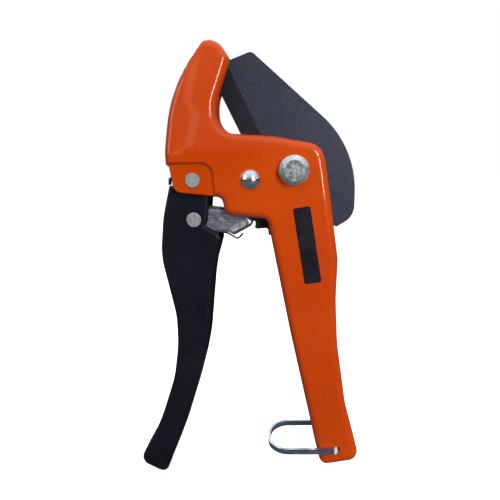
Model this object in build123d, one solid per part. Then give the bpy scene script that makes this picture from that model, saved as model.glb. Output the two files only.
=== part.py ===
"""Ratchet pipe cutter for plastic pipe, standing upright in the XZ plane.

Units are millimetres.  The origin is on the blade pivot axis, in the middle of
the blade's thickness.  +Z is up, the front face looks toward -Y, and the fixed
handle hangs below the pivot.  Every function returns one subcomponent.
"""

import math
import os

from build123d import *

# ---------------------------------------------------------------- thicknesses
BODY_HALF = 10.5          # head and fixed handle, half thickness
JAW_HALF = 8.2            # jaw at its root
JAW_TIP_HALF = 6.4        # jaw at its tip
BODY_EDGE = 3.4           # rounding of the casting's outline edges
EAR_HALF = 9.3            # outer face of the two ears, below the main face
CAVITY_HALF = 7.0         # space between the ears
CHAMBER_HALF = 6.2        # working chamber inside the handle root
SLOT_HALF = 1.8           # blade slot
BLADE_HALF = 1.5          # blade thickness is 3 mm
CHANNEL_HALF = 6.7        # folded handle, outer half width
CHANNEL_WALL = 1.6
TANG_HALF = 6.15          # lower end of the channel, inside the grip
GRIP_HALF = 6.95
GRIP_TOP = -88.0
GRIP_WALL = 0.8
PAWL_HALF = 4.5
PAWL_SHEET = 1.2

# -------------------------------------------------------------- pivot centres
HANDLE_PIVOT = (-44.4, -3.6)
PAWL_PIVOT = (-45.1, -21.4)
STOP_RIVET = (-18.9, -3.7)
HOLDING_PIVOT = (3.5, -37.2)
STRAP_PIVOT = (20.95, -134.4)

# ------------------------------------------------------------------ diameters
BOLT_D = 6.0
BUSH_D = 9.0
WASHER_D = 15.0
STOP_D = 5.0
HANDLE_RIVET_D = 4.8
HANDLE_BUSH_D = 6.8
PAWL_RIVET_D = 4.0
PAWL_SLEEVE_D = 6.0
HOLDING_PIN_D = 3.0
RUNNING = 0.05            # radial running clearance of the moving pieces

# ------------------------------------------------------------- ratchet sector
TOOTH_TIP_R = 31.4
TOOTH_ROOT_R = 29.1
TOOTH_FIRST = 223.0       # degrees, angle of the first tooth
TOOTH_PITCH = 13.0
TOOTH_COUNT = 6
TOOTH_CLEARANCE = 0.35
BLADE_OPEN = 48.0         # degrees of blade travel allowed by the stop rivet
SLOT_SWEEP_R = 33.9
TIP_SWEEP_R = 58.4

# -------------------------------------------------------------- cutting edge
EDGE_TIP = (-37.0, 43.5)
EDGE_HEEL = (-22.3, 13.3)
BEVEL_WIDTH = 8.0

# ---------------------------------------------------------------- lock strap
STRAP_THICK = 1.25
STRAP_HEIGHT = 2.7
STRAP_HALF = 12.1         # outer half width of the loop
STRAP_END_X = -12.6
STRAP_CORNER = 10.4
STRAP_BEND = 1.7
STRAP_HOLE_D = 3.7
STRAP_TILT = 2.8


# ------------------------------------------------------------------- helpers
def outline(points):
    """Closed face in the XZ plane from (x, z) or (x, z, corner radius)."""
    count = len(points)
    starts = []
    edges = []
    for i, point in enumerate(points):
        here = Vector(point[0], 0, point[1])
        before = Vector(points[i - 1][0], 0, points[i - 1][1])
        after = Vector(points[(i + 1) % count][0], 0, points[(i + 1) % count][1])
        radius = point[2] if len(point) > 2 else 0
        into = (before - here).normalized()
        out = (after - here).normalized()
        turn = math.pi - into.get_angle(out) * math.pi / 180
        if radius <= 0 or turn < 0.01:
            starts.append((here, here))
            continue
        reach = radius * math.tan(turn / 2)
        first = here + into * reach
        last = here + out * reach
        bisector = (into + out).normalized()
        centre = here + bisector * (radius / math.cos(turn / 2))
        middle = centre - bisector * radius
        edges.append(Edge.make_three_point_arc(first, middle, last))
        starts.append((first, last))
    for i in range(count):
        leave = starts[i][1]
        reach_next = starts[(i + 1) % count][0]
        if (reach_next - leave).length > 1e-4:
            edges.append(Edge.make_line(leave, reach_next))
    return Face(Wire(edges))


def slab(points, y_from, y_to):
    """Prism on an XZ outline between two Y levels."""
    face = Pos(0, y_from, 0) * outline(points)
    return Part() + Solid.extrude(face, Vector(0, y_to - y_from, 0))


def plate(points, half):
    """Prism centred on the middle plane."""
    return slab(points, -half, half)


def rod(centre, diameter, y_from, y_to):
    """Cylinder along Y."""
    middle = (y_from + y_to) / 2
    shape = Cylinder(diameter / 2, abs(y_to - y_from), rotation=(90, 0, 0))
    return Pos(centre[0], middle, centre[1]) * shape


def ring(centre, outer, inner, y_from, y_to):
    """Tube along Y."""
    return rod(centre, outer, y_from, y_to) - rod(centre, inner, y_from - 1, y_to + 1)


def polar(radius, angle):
    """Point at an angle (degrees) around the blade pivot."""
    turn = math.radians(angle)
    return (radius * math.cos(turn), radius * math.sin(turn))


def arc_slot(radius, width, start, end, half):
    """Curved slot around the blade pivot, round at both ends."""
    middle = (start + end) / 2
    inner = []
    outer = []
    for angle in (start, middle, end):
        for side, corners in ((-1, inner), (1, outer)):
            x, z = polar(radius + side * width / 2, angle)
            corners.append(Vector(x, -half, z))
    edges = [
        Edge.make_three_point_arc(*outer),
        Edge.make_line(outer[2], inner[2]),
        Edge.make_three_point_arc(*reversed(inner)),
        Edge.make_line(inner[0], outer[0]),
    ]
    body = Part() + Solid.extrude(Face(Wire(edges)), Vector(0, 2 * half, 0))
    ends = rod(polar(radius, start), width, -half, half)
    ends += rod(polar(radius, end), width, -half, half)
    return body + ends


def wire_path(points, diameter):
    """Round wire through a list of XYZ points, with ball joints."""
    radius = diameter / 2
    shape = Part()
    for here, after in zip(points, points[1:]):
        start = Vector(*here)
        run = Vector(*after) - start
        shape += Solid.make_cylinder(radius, run.length, Plane(start, z_dir=run))
    for point in points[1:-1]:
        shape += Pos(*point) * Sphere(radius)
    return shape


def coil(centre, mean_radius, wire, turns, y_from):
    """Close-wound helical coil around a Y axis, growing toward +Y."""
    pitch = wire * 1.12
    path = Helix(pitch, pitch * turns, mean_radius)
    profile = Plane(path @ 0, z_dir=path % 0) * Circle(wire / 2)
    winding = sweep(profile, path=path, is_frenet=True)
    return Pos(centre[0], y_from, centre[1]) * (Rot(-90, 0, 0) * winding)


# ---------------------------------------------------------------- body casting
BODY_OUTLINE = [
    (-38.4, 55.0, 3.6),
    (-31.8, 53.8, 8.0),
    (-27.1, 46.7, 3.6),
    (-33.5, 29.5, 16.0),
    (-33.7, 16.5, 8.4),
    (-9.0, 14.5, 60.0),
    (12.0, 10.5, 8.2),
    (14.0, -0.5, 30.0),
    (19.7, -39.5, 14.0),
    (19.2, -58.0, 90.0),
    (20.4, -80.0, 90.0),
    (25.1, -112.0, 80.0),
    (32.6, -140.4, 5.0),
    (13.8, -144.7, 3.8),
    (10.7, -131.5, 60.0),
    (-1.5, -74.5, 80.0),
    (-10.8, -26.0, 20.0),
    (-11.6, -21.2, 3.2),
    (-30.3, -19.0, 3.6),
    (-31.9, -11.4, 2.9),
    (-53.3, -9.2, 4.2),
    (-55.0, 2.2),
    (-56.4, 3.4),
    (-56.5, 9.0, 40.0),
    (-54.2, 27.5, 50.0),
    (-47.8, 42.8, 60.0),
]


def side_taper():
    """Side profile, thinner toward the jaw tip, as a prism along X."""
    half_points = [
        (JAW_TIP_HALF, 60.0),
        (JAW_TIP_HALF, 54.0),
        (JAW_HALF, 27.0),
        (BODY_HALF, 9.0),
        (BODY_HALF, -150.0),
    ]
    radii = [0, 0, 60, 26, 0]
    right = [(y, z, r) for (y, z), r in zip(half_points, radii)]
    left = [(-y, z, r) for y, z, r in reversed(right)]
    face = outline(right + left)
    prism = Solid.extrude(Pos(0, -80, 0) * face, Vector(0, 160, 0))
    return Part() + Rot(0, 0, 90) * prism


def blade_slot():
    """Slot swept by the blade, from the jaw to the handle root."""
    disc = rod((0, 0), 2 * SLOT_SWEEP_R, -SLOT_HALF, SLOT_HALF)
    wedge = plate([(-22.5, 10.5), (-39.9, 48.0), (0, 75), (30, 20), (0, 0)], SLOT_HALF)
    sweep_disc = rod((0, 0), 2 * TIP_SWEEP_R, -SLOT_HALF, SLOT_HALF)
    return disc + (wedge & sweep_disc)


def body_casting():
    """One-piece die casting: jaw, head with ears, and fixed handle."""
    body = plate(BODY_OUTLINE, BODY_HALF + 1) & side_taper()
    rims = [e for e in body.edges() if abs(e.tangent_at(0.5).Y) < 0.5]
    body = fillet([e for e in rims if not is_taper_seam(e)], BODY_EDGE)

    # the ears lie lower than the main face
    for side in (-1, 1):
        body -= ear_recess(side)

    # blade slot, space for the moving handle, chamber for the holding pawl
    body -= blade_slot()
    cavity = [(-64, -34), (-64, 1.5), (-54.5, 1.5), (-51.5, 4.6, 2.0), (-36.5, 4.6, 3.5),
              (-31.5, -9.5, 3.0), (-12.0, -14.5, 3.0), (-4.5, -24.0), (-14.0, -34)]
    body -= plate(cavity, CAVITY_HALF)
    chamber = [(-20, -24), (-8, -24), (8.0, -30.0, 3.0), (13.5, -38.0, 4.0),
               (13.8, -56.0, 5.0), (2.0, -63.0, 3.0), (-16, -63)]
    body -= plate(chamber, CHAMBER_HALF)

    # pivot bore with a washer seat on each side of the slot
    body -= rod((0, 0), BOLT_D + 0.1, -20, 20)
    body -= rod((0, 0), WASHER_D + 0.4, -2.75, 2.75)
    body -= ring((0, 0), 25.0, 17.2, 1.0, 7.6)

    # rivet and pin bores
    body -= rod(STOP_RIVET, STOP_D, -20, 20)
    body -= rod(HANDLE_PIVOT, HANDLE_RIVET_D, -20, 20)
    body -= rod(HOLDING_PIVOT, HOLDING_PIN_D, -8.5, 20)

    # strap holes, one in each face
    for side in (-1, 1):
        body -= rod(STRAP_PIVOT, STRAP_HOLE_D, side * 5.6, side * 20)

    # shallow seat of the name label on the front face
    body -= label_shape(7.6, 34.6, -BODY_HALF - 1, -BODY_HALF + 0.5)
    return body


def ear_recess(side):
    """Sunken area around the handle rivet, with a sloped border."""
    border = [(-66, 3.2), (-38.9, 3.2, 3.6), (-36.1, 0.8, 3.0), (-35.0, -16), (-66, -16)]
    depth = BODY_HALF + 1 - EAR_HALF
    floor = Pos(0, side * EAR_HALF, 0) * outline(border)
    return extrude(floor, amount=depth, dir=(0, side, 0), taper=-42)


def is_taper_seam(edge):
    """True for the straight seams running along X across the taper faces."""
    size = edge.bounding_box().size
    return size.Z < 0.02 and size.Y < 0.02 and size.X > 6


def label_shape(width, length, y_from, y_to):
    """Rounded rectangle along the upper part of the fixed handle."""
    half_w = width / 2
    half_l = length / 2
    points = [(-half_w, half_l, 1.1), (half_w, half_l, 1.1),
              (half_w, -half_l, 1.1), (-half_w, -half_l, 1.1)]
    shape = slab(points, y_from, y_to)
    return Pos(5.9, 0, -32.85) * (Rot(0, -9.1, 0) * shape)


def name_label():
    """Black plate set in the handle."""
    return label_shape(7.4, 34.4, -BODY_HALF + 0.05, -BODY_HALF + 0.5)


# ------------------------------------------------------------- pivot hardware
def blade_bolt():
    """Flanged hexagon bolt through both walls."""
    face = -BODY_HALF
    bolt = rod((0, 0), BOLT_D, face, 17.6)
    bolt += rod((0, 0), 12.9, face - 0.8, face)
    skirt = Cone(6.45, 5.2, 1.1, rotation=(90, 0, 0))
    bolt += Pos(0, face - 1.35, 0) * skirt
    hexagon = [polar(10.2 / math.sqrt(3), 60 * i + 12) for i in range(6)]
    head = slab(hexagon, face - 4.9, face - 0.8)
    crown = Cone(9.64, 4.35, 4.6, rotation=(90, 0, 0))
    bolt += head & (Pos(0, face - 2.6, 0) * crown)
    return bolt


def nut_washer():
    """Plain washer under the nut."""
    return ring((0, 0), 13.0, BOLT_D + 0.2, BODY_HALF, BODY_HALF + 1.2)


def bolt_nut():
    """Hexagon lock nut with a rounded collar."""
    seat = BODY_HALF + 1.2
    hexagon = [polar(10.0 / math.sqrt(3), 60 * i) for i in range(6)]
    nut = slab(hexagon, seat, seat + 4.4)
    nut = nut & (Pos(0, seat + 2.2, 0) * Cone(7.2, 5.2, 4.4, rotation=(-90, 0, 0)))
    nut += rod((0, 0), 8.4, seat + 4.4, seat + 5.4)
    return nut - rod((0, 0), BOLT_D, 0, 30)


def blade_bush():
    """Bearing sleeve that the blade turns on."""
    return ring((0, 0), BUSH_D, BOLT_D + 0.1, -1.75, 1.75)


def thrust_washers():
    """Two equal washers that keep the blade in the middle of its slot."""
    front = ring((0, 0), WASHER_D, BOLT_D + 0.1, -2.75, -1.75)
    rear = ring((0, 0), WASHER_D, BOLT_D + 0.1, 1.75, 2.75)
    return front + rear


def blade_return_spring():
    """Torsion spring in the annular pocket of the rear wall."""
    return coil((0, 0), 10.5, 1.3, 2.6, 2.9)


def stop_rivet():
    """Domed rivet; its shank stops the blade at both ends of the curved slot."""
    rivet = rod(STOP_RIVET, STOP_D, -BODY_HALF, BODY_HALF)
    ball = Pos(STOP_RIVET[0], -BODY_HALF + 2.6, STOP_RIVET[1]) * Sphere(5.25)
    cap = ball & rod(STOP_RIVET, 12, -BODY_HALF - 4, -BODY_HALF)
    tail = rod(STOP_RIVET, 8.0, BODY_HALF, BODY_HALF + 1.2)
    tail = chamfer(tail.edges().filter_by(GeomType.CIRCLE).sort_by(Axis.Y)[-1], 0.5)
    return rivet + cap + tail


# --------------------------------------------------------------- blade
def blade():
    """Flat steel blade with its cutting edge, curved stop slot and ratchet teeth."""
    points = [EDGE_TIP, (-18.2, 49.9, 2.6), (27.1, 9.4, 44.0), (27.1, -21.0, 8.6),
              (19.3, -25.8, 0.6), (13.4, -22.2, 2.0)]
    for i in reversed(range(TOOTH_COUNT)):
        tip = TOOTH_FIRST + TOOTH_PITCH * i
        points.append((*polar(TOOTH_ROOT_R, tip + 8.0), 1.0))
        points.append((*polar(TOOTH_TIP_R, tip + 1.6), 0.8))
        points.append((*polar(TOOTH_TIP_R, tip - 0.5), 0.5))
        points.append((*polar(TOOTH_ROOT_R, tip - 2.8), 0.6))
    points += [(-23.9, -13.0, 3.0), (-26.0, -2.0, 8.0), (-25.9, 6.5, 6.0), EDGE_HEEL]
    body = plate(points, BLADE_HALF)

    # one bevel on each side of the cutting edge
    for side in (-1, 1):
        body -= edge_bevel(side)

    stop_angle = math.degrees(math.atan2(STOP_RIVET[1], STOP_RIVET[0])) % 360
    stop_radius = math.hypot(*STOP_RIVET)
    body -= arc_slot(stop_radius, STOP_D + 0.7, stop_angle - 0.8,
                     stop_angle + BLADE_OPEN + 0.8, 3.0)
    body -= rod((0, 0), BUSH_D + 2 * RUNNING, -3, 3)
    return body


def edge_bevel(side):
    """Wedge removed from one face so that the cutting edge thins to 0.3 mm."""
    heel = Vector(EDGE_HEEL[0], 0, EDGE_HEEL[1])
    tip = Vector(EDGE_TIP[0], 0, EDGE_TIP[1])
    along = (tip - heel).normalized()
    inward = Vector(along.Z, 0, -along.X)
    section = [(-2, -0.19), (-2, 4), (BEVEL_WIDTH, 4), (BEVEL_WIDTH, BLADE_HALF)]
    start = heel - along * 8
    corners = [start + inward * s + Vector(0, side * t, 0) for s, t in section]
    face = Face(Wire.make_polygon(corners))
    length = (tip - heel).length + 16
    return Part() + Solid.extrude(face, along * length)


# --------------------------------------------------------- moving handle
CHANNEL_TOP = [
    (-37.5, -9.0, 30.0),
    (-37.5, 3.3, 6.7),
    (-51.3, 3.3, 6.7),
    (-51.5, -6.0, 0.6),
]
CHANNEL_LEFT = [
    (-56.0, -6.0, 0.6),
    (-59.7, -20.0, 70.0),
    (-61.9, -38.5, 38.0),
    (-56.0, -68.5, 50.0),
    (-56.2, -82.0, 60.0),
    (-56.9, GRIP_TOP),
]
CHANNEL_RIGHT = [
    (-42.9, GRIP_TOP),
    (-40.6, -77.0, 70.0),
    (-39.0, -62.0, 70.0),
    (-37.4, -48.0, 60.0),
    (-36.2, -41.0, 20.0),
    (-33.0, -30.3, 2.0),
    (-34.3, -27.8, 1.0),
    (-40.1, -24.3, 0.6),
    (-39.0, -22.0, 2.0),
]
GRIP_LEFT = [
    (-56.9, GRIP_TOP),
    (-58.9, -100.5, 60.0),
    (-68.2, -127.5, 120.0),
    (-80.2, -149.0, 4.6),
]
GRIP_RIGHT = [
    (-66.3, -155.6, 3.4),
    (-55.9, -130.5, 120.0),
    (-47.3, -104.0, 150.0),
    (-42.9, GRIP_TOP),
]
CENTRE_LINE = [(-47.0, 5.0), (-48.5, -80.0), (-54.5, -110.0), (-71.0, -150.0)]


def moved(points, dx, dz=0.0):
    """Outline points shifted as a group."""
    return [(x + dx, z + dz, *radius) for x, z, *radius in points]


def tang():
    """Lower end of the channel that the grip is dipped over, as a solid block."""
    left = moved(GRIP_LEFT[1:3], GRIP_WALL) + moved(GRIP_LEFT[3:], 1.1, 0.9)
    right = moved(GRIP_RIGHT[:1], -0.5, 1.1) + moved(GRIP_RIGHT[1:3], -GRIP_WALL)
    top = [(-44.5, -80.0), (-54.5, -80.0), (-56.9 + GRIP_WALL, GRIP_TOP)]
    return plate(left + right + [(-42.9 - GRIP_WALL, GRIP_TOP)] + top, TANG_HALF)


def soften_web(shape, half, radius):
    """Round the two long edges of the folded sheet on its closed side."""
    rims = [e for e in shape.edges() if abs(e.center().Y) > half - 0.01]
    return fillet([e for e in rims if on_web_side(e)], radius)


def handle_channel():
    """Folded steel channel: web on the left, open toward the fixed handle."""
    upper = plate(CHANNEL_LEFT + CHANNEL_RIGHT + CHANNEL_TOP, CHANNEL_HALF)
    channel = soften_web(upper, CHANNEL_HALF, 1.8) + tang()
    inner = [(-54.0, 8), (-54.6, -5.0)]
    inner += moved(CHANNEL_LEFT[1:5], CHANNEL_WALL)
    inner += moved(GRIP_LEFT[1:3], GRIP_WALL + CHANNEL_WALL)
    inner += [(-77.2, -148.6, 2.0), (-70.0, -165), (-20, -165), (-20, 8)]
    half = CHANNEL_HALF - CHANNEL_WALL
    channel -= plate(inner, half)
    channel -= plate([(-70, -5.6), (-70, 10), (-30, 10), (-30, -5.6)], half)
    channel -= rod(HANDLE_PIVOT, HANDLE_BUSH_D + 2 * RUNNING, -10, 10)
    channel -= rod(PAWL_PIVOT, PAWL_RIVET_D, -10, 10)
    return channel


def on_web_side(edge):
    """True for the outline edges left of the channel's centre line."""
    centre = edge.center()
    flat_end = edge.bounding_box().size.Z < 0.2
    if flat_end or centre.Z > -7 or centre.Z < -147:
        return False
    for (x_top, z_top), (x_low, z_low) in zip(CENTRE_LINE, CENTRE_LINE[1:]):
        if z_low <= centre.Z <= z_top:
            share = (z_top - centre.Z) / (z_top - z_low)
            return centre.X < x_top + share * (x_low - x_top)
    return False


def handle_grip():
    """Dipped sleeve that closes the lower part of the channel."""
    grip = plate(GRIP_LEFT + GRIP_RIGHT, GRIP_HALF)
    rims = [e for e in grip.edges() if abs(e.center().Y) > GRIP_HALF - 0.01]
    rims = [e for e in rims if e.center().Z < GRIP_TOP - 1]
    grip = fillet(rims, 1.9)
    return grip - tang()


def handle_rivet():
    """Flat-headed pivot rivet of the moving handle."""
    rivet = rod(HANDLE_PIVOT, HANDLE_RIVET_D, -EAR_HALF, EAR_HALF)
    for side in (-1, 1):
        rivet += flat_head(HANDLE_PIVOT, 6.5, side, EAR_HALF, 0.7)
    return rivet


def flat_head(centre, diameter, side, level, height):
    """Flat rivet head with a broken edge on one side of the tool."""
    head = rod(centre, diameter, side * level, side * (level + height))
    rims = head.edges().filter_by(GeomType.CIRCLE).sort_by(Axis.Y)
    return chamfer(rims[-1] if side > 0 else rims[0], 0.25)


def handle_bush():
    """Sleeve on the handle rivet, clamped between the ears."""
    return ring(HANDLE_PIVOT, HANDLE_BUSH_D, HANDLE_RIVET_D, -CAVITY_HALF, CAVITY_HALF)


def handle_spring():
    """Return spring around the handle bush; one leg bears on the web's top edge."""
    x, z = HANDLE_PIVOT
    mean = 4.5
    wire = 1.5
    spring = coil(HANDLE_PIVOT, mean, wire, 4.5, -4.0)
    leg = [(x, -4.0, z + mean), (-51.5, -4.0, -0.9), (-54.0, -3.4, -1.9),
           (-56.1, -3.0, -3.2), (-56.3, -3.0, -5.75)]
    spring += wire_path(leg, wire)
    return spring


# ------------------------------------------------------------- drive pawl
PAWL_SIDE = [
    (-50.4, -16.4, 4.6),
    (-38.5, -15.9, 20.0),
    (-31.0, -16.7, 4.0),
    (-21.5, -19.2, 3.0),
    (-17.4, -23.8, 2.2),
    (-27.2, -29.1, 0.5),
    (-29.6, -27.8, 0.4),
    (-31.8, -27.7, 0.6),
    (-44.5, -28.2, 5.0),
    (-50.4, -24.0, 5.0),
]
PAWL_STEPS = 5            # handle positions used to clear the tooth tips
PAWL_RATIO = 1.5          # pawl turn per turn of the handle
HANDLE_TRAVEL = (-8.0, 18.0)


def drive_pawl():
    """Folded pawl: two side plates, a top flange and the pushing band."""
    pawl = plate(PAWL_SIDE, PAWL_HALF)
    pawl = fillet([e for e in pawl.edges() if is_pawl_bend(e)], 1.7)
    inner = [(-60, -17.5), (-31.4, -17.5, 0.8), (-31.4, -5), (-8, -5), (-8, -17.42),
             (-27.8, -28.1), (-28.0, -40), (-60, -40)]
    pawl -= plate(inner, PAWL_HALF - PAWL_SHEET)
    slit = [(-31.5, -25.0), (-31.2, -24.8), (-29.2, -27.7), (-29.6, -28.5), (-30.0, -27.6)]
    for side in (-1, 1):
        pawl -= slab(slit, side * (PAWL_HALF - 0.5), side * (PAWL_HALF + 1))
    pawl -= tooth_relief()
    return pawl - rod(PAWL_PIVOT, PAWL_SLEEVE_D + 2 * RUNNING, -10, 10)


def is_pawl_bend(edge):
    """True for the edges where the sheet is folded: along the top and the band."""
    centre = edge.center()
    if abs(centre.Y) < PAWL_HALF - 0.01:
        return False
    on_top = centre.Z > -19.0 and centre.X > -46.0
    on_band = centre.X > -27.3
    return on_top or on_band


def tooth_relief():
    """Space of the tooth tips, as the pawl meets them over the handle's travel."""
    relief = Part()
    first, last = HANDLE_TRAVEL
    for i in range(PAWL_STEPS):
        swing = first + (last - first) * i / (PAWL_STEPS - 1)
        spot = turned((0, 0), HANDLE_PIVOT, -swing)
        spot = turned(spot, PAWL_PIVOT, PAWL_RATIO * swing)
        relief += rod(spot, 2 * (TOOTH_TIP_R + TOOTH_CLEARANCE), -2.2, 2.2)
    return relief


def turned(point, centre, angle):
    """Point turned counter-clockwise around a centre, seen from the front."""
    turn = math.radians(angle)
    dx = point[0] - centre[0]
    dz = point[1] - centre[1]
    x = centre[0] + dx * math.cos(turn) - dz * math.sin(turn)
    z = centre[1] + dx * math.sin(turn) + dz * math.cos(turn)
    return (x, z)


def pawl_rivet():
    """Flat-headed rivet that carries the drive pawl."""
    rivet = rod(PAWL_PIVOT, PAWL_RIVET_D, -CHANNEL_HALF, CHANNEL_HALF)
    for side in (-1, 1):
        rivet += flat_head(PAWL_PIVOT, 6.7, side, CHANNEL_HALF, 0.8)
    return rivet


def pawl_sleeve():
    """Spacer sleeve that keeps the channel walls apart."""
    half = CHANNEL_HALF - CHANNEL_WALL
    return ring(PAWL_PIVOT, PAWL_SLEEVE_D, PAWL_RIVET_D, -half, half)


def pawl_spring():
    """Torsion spring between the pawl side plates, hooked around the band."""
    x, z = PAWL_PIVOT
    mean = 3.42
    wire = 0.75
    spring = coil(PAWL_PIVOT, mean, wire, 5.0, -2.6)
    leg = [(x, -2.6, z - mean), (-30.4, -2.6, -28.2), (-26.1, -2.6, -30.6),
           (-25.1, -2.6, -30.3), (-23.2, -2.6, -28.3)]
    spring += wire_path(leg, 0.9)
    return spring


# ------------------------------------------------------------ holding pawl
def holding_pawl():
    """Hooked pawl in the handle root that keeps the blade from springing back."""
    arm = [(-9.2, -31.1, 0.3), (-8.3, -30.9, 0.3), (-7.9, -33.4, 1.2), (-2.0, -34.4, 6.0),
           (3.5, -34.6), (3.5, -39.8), (-3.5, -38.4, 4.0), (-8.7, -35.6, 2.0)]
    pawl = plate(arm, 2.0)
    pawl += rod(HOLDING_PIVOT, 5.2, -5.9, 5.9)
    return pawl - rod(HOLDING_PIVOT, HOLDING_PIN_D + 2 * RUNNING, -10, 10)


def holding_pawl_pin():
    """Pin pressed in from the rear face."""
    return rod(HOLDING_PIVOT, HOLDING_PIN_D, -8.3, BODY_HALF - 0.2)


def holding_pawl_spring():
    """Small torsion spring beside the pawl arm."""
    return coil(HOLDING_PIVOT, 3.4, 0.8, 2.4, 2.7)


# ------------------------------------------------------------- lock strap
def strap_loop(half, end_x, corner, bend):
    """Filled U of the strap, seen from above, as a tall prism."""
    right = STRAP_PIVOT[0] + STRAP_THICK / 2
    points = [(right, half, bend), (right, -half, bend), (end_x, -half, corner),
              (end_x, half, corner)]
    face = outline(points)
    prism = Solid.extrude(face, Vector(0, STRAP_HEIGHT, 0))
    flat = Rot(90, 0, 0) * (Part() + prism)
    return Pos(0, 0, STRAP_PIVOT[1] - STRAP_HEIGHT / 2) * flat


def lock_strap():
    """Flat spring-steel loop with an in-turned tang at each end."""
    inner_half = STRAP_HALF - STRAP_THICK
    outer = strap_loop(STRAP_HALF, STRAP_END_X, STRAP_CORNER, STRAP_BEND)
    inner_end = STRAP_END_X + STRAP_THICK
    inner = strap_loop(inner_half, inner_end, STRAP_CORNER - STRAP_THICK, 0)
    inner = inner + Pos(6, 0, 0) * inner
    strap = outer - inner
    for side in (-1, 1):
        length = inner_half - 6.6
        tang = Box(STRAP_THICK, length, STRAP_HEIGHT)
        middle = side * (inner_half - length / 2 + 0.01)
        strap += Pos(STRAP_PIVOT[0], middle, STRAP_PIVOT[1]) * tang
    x, z = STRAP_PIVOT
    return Pos(x, 0, z) * (Rot(0, -STRAP_TILT, 0) * (Pos(-x, 0, -z) * strap))


# ----------------------------------------------------------------- export
PARTS = [
    body_casting,
    name_label,
    blade_bolt,
    nut_washer,
    bolt_nut,
    blade_bush,
    thrust_washers,
    blade_return_spring,
    stop_rivet,
    blade,
    handle_channel,
    handle_grip,
    handle_rivet,
    handle_bush,
    handle_spring,
    drive_pawl,
    pawl_rivet,
    pawl_sleeve,
    pawl_spring,
    holding_pawl,
    holding_pawl_pin,
    holding_pawl_spring,
    lock_strap,
]

os.makedirs("parts", exist_ok=True)
for make in PARTS:
    shape = make()
    export_step(shape, "parts/" + make.__name__ + ".step")
    print(make.__name__, round(shape.volume, 1), len(shape.solids()), shape.bounding_box())
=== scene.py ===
"""Looks, lights and camera for the ratchet pipe cutter.  Units are metres."""

import math

import bpy
from mathutils import Matrix, Quaternion, Vector


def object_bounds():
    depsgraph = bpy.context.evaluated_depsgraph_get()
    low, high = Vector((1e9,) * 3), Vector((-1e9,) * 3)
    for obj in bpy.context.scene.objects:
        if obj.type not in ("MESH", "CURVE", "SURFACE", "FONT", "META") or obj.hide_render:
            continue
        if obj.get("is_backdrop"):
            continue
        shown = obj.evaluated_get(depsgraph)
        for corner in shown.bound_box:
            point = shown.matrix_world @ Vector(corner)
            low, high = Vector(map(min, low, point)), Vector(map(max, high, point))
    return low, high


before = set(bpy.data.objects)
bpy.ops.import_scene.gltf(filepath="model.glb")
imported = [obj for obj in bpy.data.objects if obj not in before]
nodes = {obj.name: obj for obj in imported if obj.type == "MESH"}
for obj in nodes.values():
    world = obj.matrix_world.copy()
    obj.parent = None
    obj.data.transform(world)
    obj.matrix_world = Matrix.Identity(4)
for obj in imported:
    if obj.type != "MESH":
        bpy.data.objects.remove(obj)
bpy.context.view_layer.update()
MM = 0.001

# lines in the tool's plane that wear, grinding, a painted shade and a painted highlight follow, x
# and z in millimetres
EDGE_HEEL = (-22.3, 13.3)      # cutting edge of the blade
EDGE_TIP = (-37.0, 43.5)
BEVEL_WIDTH = 8.0
BAND_TOP = (-17.4, -23.8)      # outer edge of the drive pawl's pushing band
BAND_FOOT = (-27.2, -29.1)
# the strap's painted highlight starts at STRAP_BEND_X
STRAP_BEND_X = 19.6            # where the lock strap bends into its hole


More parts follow.
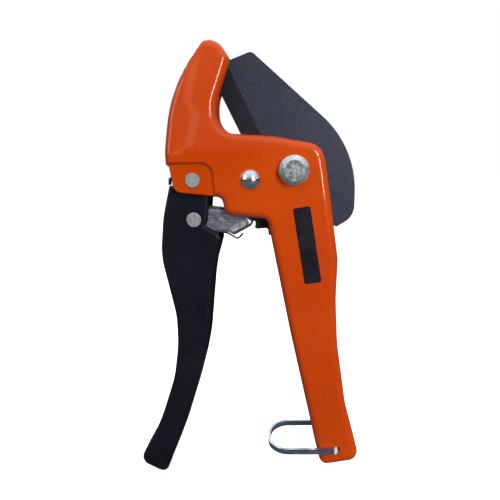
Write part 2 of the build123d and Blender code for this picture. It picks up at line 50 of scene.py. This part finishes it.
# ------------------------------------------------------------ node helpers
class Shader:
    """Small builder around one material's node tree."""

    def __init__(self, name):
        self.material = bpy.data.materials.new(name)
        self.material.use_nodes = True
        self.tree = self.material.node_tree
        self.bsdf = self.tree.nodes["Principled BSDF"]
        coord = self.add("ShaderNodeTexCoord")
        self.place = coord.outputs["Object"]

    def add(self, kind, **values):
        node = self.tree.nodes.new(kind)
        for key, value in values.items():
            setattr(node, key, value)
        return node

    def link(self, out, into):
        self.tree.links.new(out, into)

    def set(self, **values):
        for key, value in values.items():
            self.bsdf.inputs[key.replace("_", " ")].default_value = value

    def stretch(self, scale, turn=(0, 0, 0)):
        """Object coordinates scaled per axis, for brushed or drawn marks."""
        mapping = self.add("ShaderNodeMapping")
        mapping.inputs["Scale"].default_value = scale
        mapping.inputs["Rotation"].default_value = turn
        self.link(self.place, mapping.inputs["Vector"])
        return mapping.outputs["Vector"]

    def noise(self, size, detail=2.0, rough=0.5, where=None):
        """Noise whose features are about size millimetres."""
        node = self.add("ShaderNodeTexNoise")
        node.inputs["Scale"].default_value = 1.0 / (size * MM)
        node.inputs["Detail"].default_value = detail
        node.inputs["Roughness"].default_value = rough
        self.link(where or self.place, node.inputs["Vector"])
        return node.outputs["Fac"]

    def span(self, value, low, high, to_low=0.0, to_high=1.0):
        """Value remapped from low..high, clamped."""
        node = self.add("ShaderNodeMapRange")
        node.clamp = True
        for key, number in zip(("From Min", "From Max", "To Min", "To Max"),
                               (low, high, to_low, to_high)):
            node.inputs[key].default_value = number
        self.link(value, node.inputs["Value"])
        return node.outputs["Result"]

    def mix(self, factor, a, b):
        """Colour mix; a and b are colours or sockets."""
        node = self.add("ShaderNodeMix", data_type="RGBA")
        self.link(factor, node.inputs[0])
        for socket, value in ((node.inputs[6], a), (node.inputs[7], b)):
            if hasattr(value, "node"):
                self.link(value, socket)
            else:
                socket.default_value = (*value, 1.0)
        return node.outputs[2]

    def math(self, operation, a, b=None):
        node = self.add("ShaderNodeMath", operation=operation)
        for socket, value in zip(node.inputs, (a, b)):
            if value is None:
                continue
            if hasattr(value, "node"):
                self.link(value, socket)
            else:
                socket.default_value = value
        return node.outputs[0]

    def depth(self, start, end):
        """Distance to the right of a line from start to end, seen from the front."""
        start = Vector((start[0], 0, start[1])) * MM
        end = Vector((end[0], 0, end[1])) * MM
        along = (end - start).normalized()
        inward = Vector((along.z, 0, -along.x))
        dot = self.add("ShaderNodeVectorMath", operation="DOT_PRODUCT")
        dot.inputs[1].default_value = inward
        self.link(self.place, dot.inputs[0])
        return self.math("SUBTRACT", dot.outputs["Value"], start.dot(inward))

    def bump(self, height, depth, strength=1.0):
        """Bump of about depth millimetres."""
        node = self.add("ShaderNodeBump")
        node.inputs["Strength"].default_value = strength
        node.inputs["Distance"].default_value = depth * MM
        self.link(height, node.inputs["Height"])
        self.link(node.outputs["Normal"], self.bsdf.inputs["Normal"])

    def colour(self, socket):
        self.link(socket, self.bsdf.inputs["Base Color"])

    def roughness(self, socket):
        self.link(socket, self.bsdf.inputs["Roughness"])


# --------------------------------------------------------------- materials
def orange_enamel():
    """Thick glossy enamel with orange peel and a few dust specks."""
    s = Shader("orange_enamel")
    drift = s.span(s.noise(45, 1.0), 0.35, 0.65)
    base = s.mix(drift, (0.52, 0.049, 0.0010), (0.57, 0.063, 0.0018))
    specks = s.span(s.noise(1.3, 0.0), 0.85, 0.89)
    s.colour(s.mix(specks, base, (0.34, 0.035, 0.004)))
    s.set(Metallic=0.0, Specular_IOR_Level=0.10, Coat_Weight=0.55, Coat_Roughness=0.05)
    s.roughness(s.span(s.noise(6, 2.0), 0.3, 0.7, 0.26, 0.36))
    peel = s.math("ADD", s.noise(2.6, 1.0), s.math("MULTIPLY", s.noise(9, 0.0), 2.0))
    s.bump(peel, 0.035, 0.55)
    return s.material


def blasted_steel():
    """Dark blasted blade coating; the ground bevel is darker and smoother."""
    s = Shader("blasted_steel")
    grain = s.span(s.noise(0.55, 2.0, 0.7), 0.42, 0.70)
    coat = s.mix(grain, (0.014, 0.017, 0.032), (0.046, 0.054, 0.086))
    clouds = s.span(s.noise(9, 2.0), 0.3, 0.7)
    coat = s.mix(clouds, coat, s.mix(grain, (0.018, 0.022, 0.039), (0.056, 0.065, 0.097)))
    depth = s.depth(EDGE_HEEL, EDGE_TIP)
    bevel = s.span(depth, (BEVEL_WIDTH + 0.2) * MM, (BEVEL_WIDTH - 0.2) * MM)
    ground = s.mix(grain, (0.013, 0.014, 0.022), (0.030, 0.032, 0.045))
    s.colour(s.mix(bevel, coat, ground))
    s.set(Metallic=0.35)
    smoother = s.math("MULTIPLY", bevel, 0.06)
    s.roughness(s.math("SUBTRACT", s.span(grain, 0, 1, 0.52, 0.40), smoother))
    s.bump(s.noise(0.5, 1.0, 0.6), 0.03, 0.5)
    return s.material


def black_enamel():
    """Satin black enamel on folded sheet."""
    s = Shader("black_enamel")
    drift = s.span(s.noise(30, 2.0), 0.35, 0.65)
    s.colour(s.mix(drift, (0.0055, 0.0058, 0.0115), (0.0080, 0.0084, 0.0150)))
    s.set(Metallic=0.0, Specular_IOR_Level=0.16)
    s.roughness(s.span(s.noise(5, 3.0), 0.3, 0.7, 0.36, 0.48))
    s.bump(s.noise(1.4, 2.0), 0.02, 0.5)
    return s.material


def dipped_vinyl():
    """Soft satin vinyl with a faint grain."""
    s = Shader("dipped_vinyl")
    drift = s.span(s.noise(25, 2.0), 0.35, 0.65)
    s.colour(s.mix(drift, (0.0057, 0.0059, 0.0118), (0.0082, 0.0085, 0.0150)))
    s.set(Specular_IOR_Level=0.18)
    s.roughness(s.span(s.noise(4, 3.0), 0.3, 0.7, 0.42, 0.54))
    s.bump(s.noise(0.9, 2.0), 0.03, 0.5)
    return s.material


def metal(name, low, high, rough, grain=1.2, depth=0.01, stretch=None, metallic=1.0):
    """Metal with a mottled tone, varied roughness and a fine surface."""
    s = Shader(name)
    where = s.stretch(stretch) if stretch else None
    tone = s.span(s.noise(grain, 3.0, 0.6, where), 0.32, 0.68)
    s.colour(s.mix(tone, low, high))
    s.set(Metallic=metallic)
    s.roughness(s.span(s.noise(grain * 2.3, 2.0, 0.5, where), 0.3, 0.7, rough[0], rough[1]))
    s.bump(s.noise(grain * 0.7, 2.0, 0.6, where), depth, 0.6)
    return s.material


def scratched_zinc():
    """Blue zinc plate, rubbed bright beside the pushing band, with painted shade on the fold at
    the band's outer edge: a flat dark grey there.
    """
    s = Shader("scratched_zinc")
    tone = s.span(s.noise(2.4, 3.0), 0.35, 0.65)
    base = s.mix(tone, (0.20, 0.21, 0.28), (0.36, 0.37, 0.45))
    marks = s.span(s.noise(0.9, 3.0, 0.7, s.stretch((0.25, 1.0, 1.6), (0, 0.5, 0))), 0.56, 0.66)
    depth = s.depth(BAND_TOP, BAND_FOOT)
    strokes = s.span(s.noise(0.7, 2.0, 0.6, s.stretch((1.6, 1.0, 0.22), (0, 0.2, 0))), 0.44, 0.56)
    near = s.math("MULTIPLY", s.span(depth, 1.3 * MM, 1.7 * MM), s.span(depth, 4.6 * MM, 2.6 * MM))
    marks = s.math("MAXIMUM", marks, s.math("MULTIPLY", strokes, near))
    worn = s.mix(marks, base, (0.86, 0.86, 0.84))
    # painted shade: within 1.3 mm of the band's outer edge the fold is coloured flat dark grey
    s.colour(s.mix(s.span(depth, 1.6 * MM, 1.3 * MM), worn, (0.20, 0.205, 0.20)))
    s.link(s.span(marks, 0, 1, 0.85, 0.30), s.bsdf.inputs["Metallic"])
    s.roughness(s.span(marks, 0, 1, 0.42, 0.24))
    s.bump(s.noise(0.8, 2.0), 0.015, 0.5)
    return s.material


def bolt_zinc():
    """Bright zinc plate, scratched in the middle of the bolt head."""
    s = Shader("bolt_zinc")
    tone = s.span(s.noise(1.5, 3.0, 0.6), 0.32, 0.68)
    plate = s.mix(tone, (0.44, 0.50, 0.54), (0.78, 0.83, 0.85))
    flat = s.add("ShaderNodeVectorMath", operation="MULTIPLY")
    flat.inputs[1].default_value = (1, 0, 1)
    s.link(s.place, flat.inputs[0])
    reach = s.add("ShaderNodeVectorMath", operation="LENGTH")
    s.link(flat.outputs["Vector"], reach.inputs[0])
    radius = reach.outputs["Value"]
    middle = s.span(radius, 3.4 * MM, 2.2 * MM)
    strokes = s.span(s.noise(0.7, 3.0, 0.7, s.stretch((0.5, 1.0, 1.4), (0, -0.7, 0))), 0.50, 0.60)
    scratches = s.math("MULTIPLY", strokes, middle)
    # the middle of the head, inside 3.6 mm, is coloured darker
    darker_disc = s.span(radius, 3.9 * MM, 3.6 * MM)
    face = s.mix(darker_disc, plate, s.mix(tone, (0.36, 0.42, 0.46), (0.60, 0.66, 0.70)))
    s.colour(s.mix(scratches, face, (0.97, 0.98, 0.97)))
    s.set(Metallic=0.8)
    s.roughness(s.span(tone, 0, 1, 0.22, 0.40))
    s.bump(s.noise(1.0, 2.0, 0.6), 0.02, 0.6)
    return s.material


def blued_strap():
    """Dark blued strap with a painted highlight: coloured near white where it is bent into its
    hole.
    """
    s = Shader("blued_strap")
    where = s.stretch((0.35, 0.35, 1.5))
    tone = s.span(s.noise(1.4, 3.0, 0.6, where), 0.32, 0.68)
    split = s.add("ShaderNodeSeparateXYZ")
    s.link(s.place, split.inputs[0])
    # painted highlight: past STRAP_BEND_X the strap is coloured near white and less metallic
    bend_glint = s.span(split.outputs["X"], STRAP_BEND_X * MM, (STRAP_BEND_X + 0.6) * MM)
    blued = s.mix(tone, (0.16, 0.20, 0.28), (0.37, 0.43, 0.53))
    s.colour(s.mix(bend_glint, blued, (0.94, 0.95, 0.96)))
    s.link(s.span(bend_glint, 0, 1, 0.9, 0.35), s.bsdf.inputs["Metallic"])
    s.roughness(s.span(s.noise(3.0, 2.0, 0.5, where), 0.3, 0.7, 0.28, 0.42))
    s.bump(s.noise(1.0, 2.0, 0.6, where), 0.008, 0.6)
    return s.material


def plain_label():
    """Glossy black plate, no print."""
    s = Shader("plain_label")
    drift = s.span(s.noise(7, 2.0), 0.3, 0.7)
    s.colour(s.mix(drift, (0.007, 0.007, 0.011), (0.015, 0.015, 0.021)))
    s.set(Specular_IOR_Level=0.3)
    s.roughness(s.span(s.noise(3, 2.0), 0.3, 0.7, 0.24, 0.34))
    s.bump(s.noise(2.0, 1.0), 0.01, 0.4)
    return s.material


ORANGE = orange_enamel()
BLADE = blasted_steel()
BLACK = black_enamel()
VINYL = dipped_vinyl()
LABEL = plain_label()
ZINC = bolt_zinc()
CHROME = metal("polished_chrome", (0.62, 0.65, 0.70), (0.76, 0.79, 0.84), (0.20, 0.28), 4.0, 0.002)
RIVET = metal("matt_rivet", (0.30, 0.32, 0.33), (0.50, 0.52, 0.53), (0.42, 0.60), 1.1, 0.05,
              metallic=0.6)
PAWL = scratched_zinc()
STRAP = blued_strap()
WIRE = metal("spring_wire", (0.07, 0.07, 0.07), (0.16, 0.16, 0.155), (0.34, 0.46), 1.0, 0.006)
BEARING = metal("bearing_steel", (0.34, 0.34, 0.35), (0.52, 0.52, 0.52), (0.22, 0.36), 1.2, 0.006)

NODE_MATERIAL = {
    "body_casting": ORANGE,
    "name_label": LABEL,
    "blade_bolt": ZINC,
    "nut_washer": ZINC,
    "bolt_nut": ZINC,
    "blade_bush": BEARING,
    "thrust_washers": BEARING,
    "blade_return_spring": WIRE,
    "stop_rivet": CHROME,
    "blade": BLADE,
    "handle_channel": BLACK,
    "handle_grip": VINYL,
    "handle_rivet": RIVET,
    "handle_bush": BEARING,
    "handle_spring": WIRE,
    "drive_pawl": PAWL,
    "pawl_rivet": RIVET,
    "pawl_sleeve": BEARING,
    "pawl_spring": WIRE,
    "holding_pawl": PAWL,
    "holding_pawl_pin": BEARING,
    "holding_pawl_spring": WIRE,
    "lock_strap": STRAP,
}


def dress_nodes():
    """Material and smooth shading for every CAD node."""
    for name, obj in nodes.items():
        obj.data.materials.clear()
        obj.data.materials.append(NODE_MATERIAL[name])
        obj.data.polygons.foreach_set("use_smooth", [True] * len(obj.data.polygons))
        obj.data.set_sharp_from_angle(angle=math.radians(24))


dress_nodes()


# ------------------------------------------------------------------- stage
FLOOR_BOUNCE = 0.08
FLOOR_GLOW = 0.5
HORIZON = 0.04
ZENITH = 1.1


def floor():
    """Pale floor under the lowest point of the tool; it bounces little light back."""
    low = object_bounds()[0].z
    bpy.ops.mesh.primitive_plane_add(size=8, location=(0, 0, low - 0.0005))
    plane = bpy.context.object
    plane.name = "floor"
    s = Shader("pale_floor")
    seen = s.add("ShaderNodeLightPath").outputs["Is Camera Ray"]
    shade = s.span(s.noise(120, 1.0), 0.3, 0.7)
    pale = s.mix(shade, (0.86, 0.86, 0.86), (0.88, 0.88, 0.88))
    s.colour(s.mix(seen, (FLOOR_BOUNCE,) * 3, pale))
    s.set(Roughness=1.0, Specular_IOR_Level=0.0, Emission_Color=(1, 1, 1, 1))
    s.link(s.math("MULTIPLY", seen, FLOOR_GLOW), s.bsdf.inputs["Emission Strength"])
    plane.data.materials.append(s.material)
    plane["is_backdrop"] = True


def area_light(name, place, target, size, power, tall=None, roll=0.0):
    """Rectangular softbox aimed at a point, rolled about its own axis in degrees."""
    data = bpy.data.lights.new(name, "AREA")
    data.shape = "RECTANGLE"
    data.size = size
    data.size_y = tall or size
    data.energy = power
    lamp = bpy.data.objects.new(name, data)
    lamp.location = place
    aim = Vector(target) - Vector(place)
    turn = aim.to_track_quat("-Z", "Y") @ Quaternion((0, 0, 1), math.radians(roll))
    lamp.rotation_euler = turn.to_euler()
    bpy.context.scene.collection.objects.link(lamp)
    return data


def surround():
    """World light: dim near the horizon, bright overhead, plain white behind the tool."""
    world = bpy.data.worlds.new("surround")
    world.use_nodes = True
    tree = world.node_tree
    glow = tree.nodes["Background"]
    coord = tree.nodes.new("ShaderNodeTexCoord")
    split = tree.nodes.new("ShaderNodeSeparateXYZ")
    rise = tree.nodes.new("ShaderNodeMapRange")
    steps = (("From Min", 0.15), ("From Max", 0.9), ("To Min", HORIZON), ("To Max", ZENITH))
    for key, number in steps:
        rise.inputs[key].default_value = number
    plain = tree.nodes.new("ShaderNodeBackground")
    plain.inputs["Strength"].default_value = 1.0
    path = tree.nodes.new("ShaderNodeLightPath")
    either = tree.nodes.new("ShaderNodeMixShader")
    tree.links.new(coord.outputs["Generated"], split.inputs[0])
    tree.links.new(split.outputs["Z"], rise.inputs["Value"])
    tree.links.new(rise.outputs["Result"], glow.inputs["Strength"])
    tree.links.new(path.outputs["Is Camera Ray"], either.inputs[0])
    tree.links.new(glow.outputs[0], either.inputs[1])
    tree.links.new(plain.outputs[0], either.inputs[2])
    tree.links.new(either.outputs[0], tree.nodes["World Output"].inputs["Surface"])
    glow.inputs["Color"].default_value = (1, 1, 1, 1)
    plain.inputs["Color"].default_value = (1, 1, 1, 1)
    bpy.context.scene.world = world


def lights():
    """Softboxes: key on the right, fill on the left, a narrow strip for the jaw, one behind."""
    surround()
    area_light("key", (0.32, -0.50, 0.14), (0, 0, -0.02), 0.12, 3.2, tall=0.34)
    area_light("fill", (-0.50, -0.35, 0.20), (0, 0, -0.05), 0.30, 0.8)
    strip = area_light("strip", (-0.146, -0.50, 0.25), (-0.042, 0, 0.05), 0.013, 0.030,
                       tall=0.5, roll=-11)
    strip.color = (1.0, 0.90, 0.55)
    area_light("rear", (-0.30, 0.55, 0.45), (0, 0, -0.03), 0.35, 4.0)


def camera():
    """Wide lens close to the head, looking a little left and down."""
    forward = Vector((-0.0866, 0.9741, -0.2086)).normalized()
    up = Vector((0.0, 0.2094, 0.9778)).normalized()
    right = forward.cross(up).normalized()
    up = right.cross(forward)
    data = bpy.data.cameras.new("camera")
    data.lens = 29.8
    data.sensor_width = 36.0
    data.clip_start = 0.005
    eye = bpy.data.objects.new("camera", data)
    turn = Matrix((right, up, -forward)).transposed().to_4x4()
    eye.matrix_world = Matrix.Translation((-0.00347, -0.1905, 0.00394)) @ turn
    bpy.context.scene.collection.objects.link(eye)
    bpy.context.scene.camera = eye


floor()
lights()
camera()
bpy.context.scene.view_settings.view_transform = "Standard"
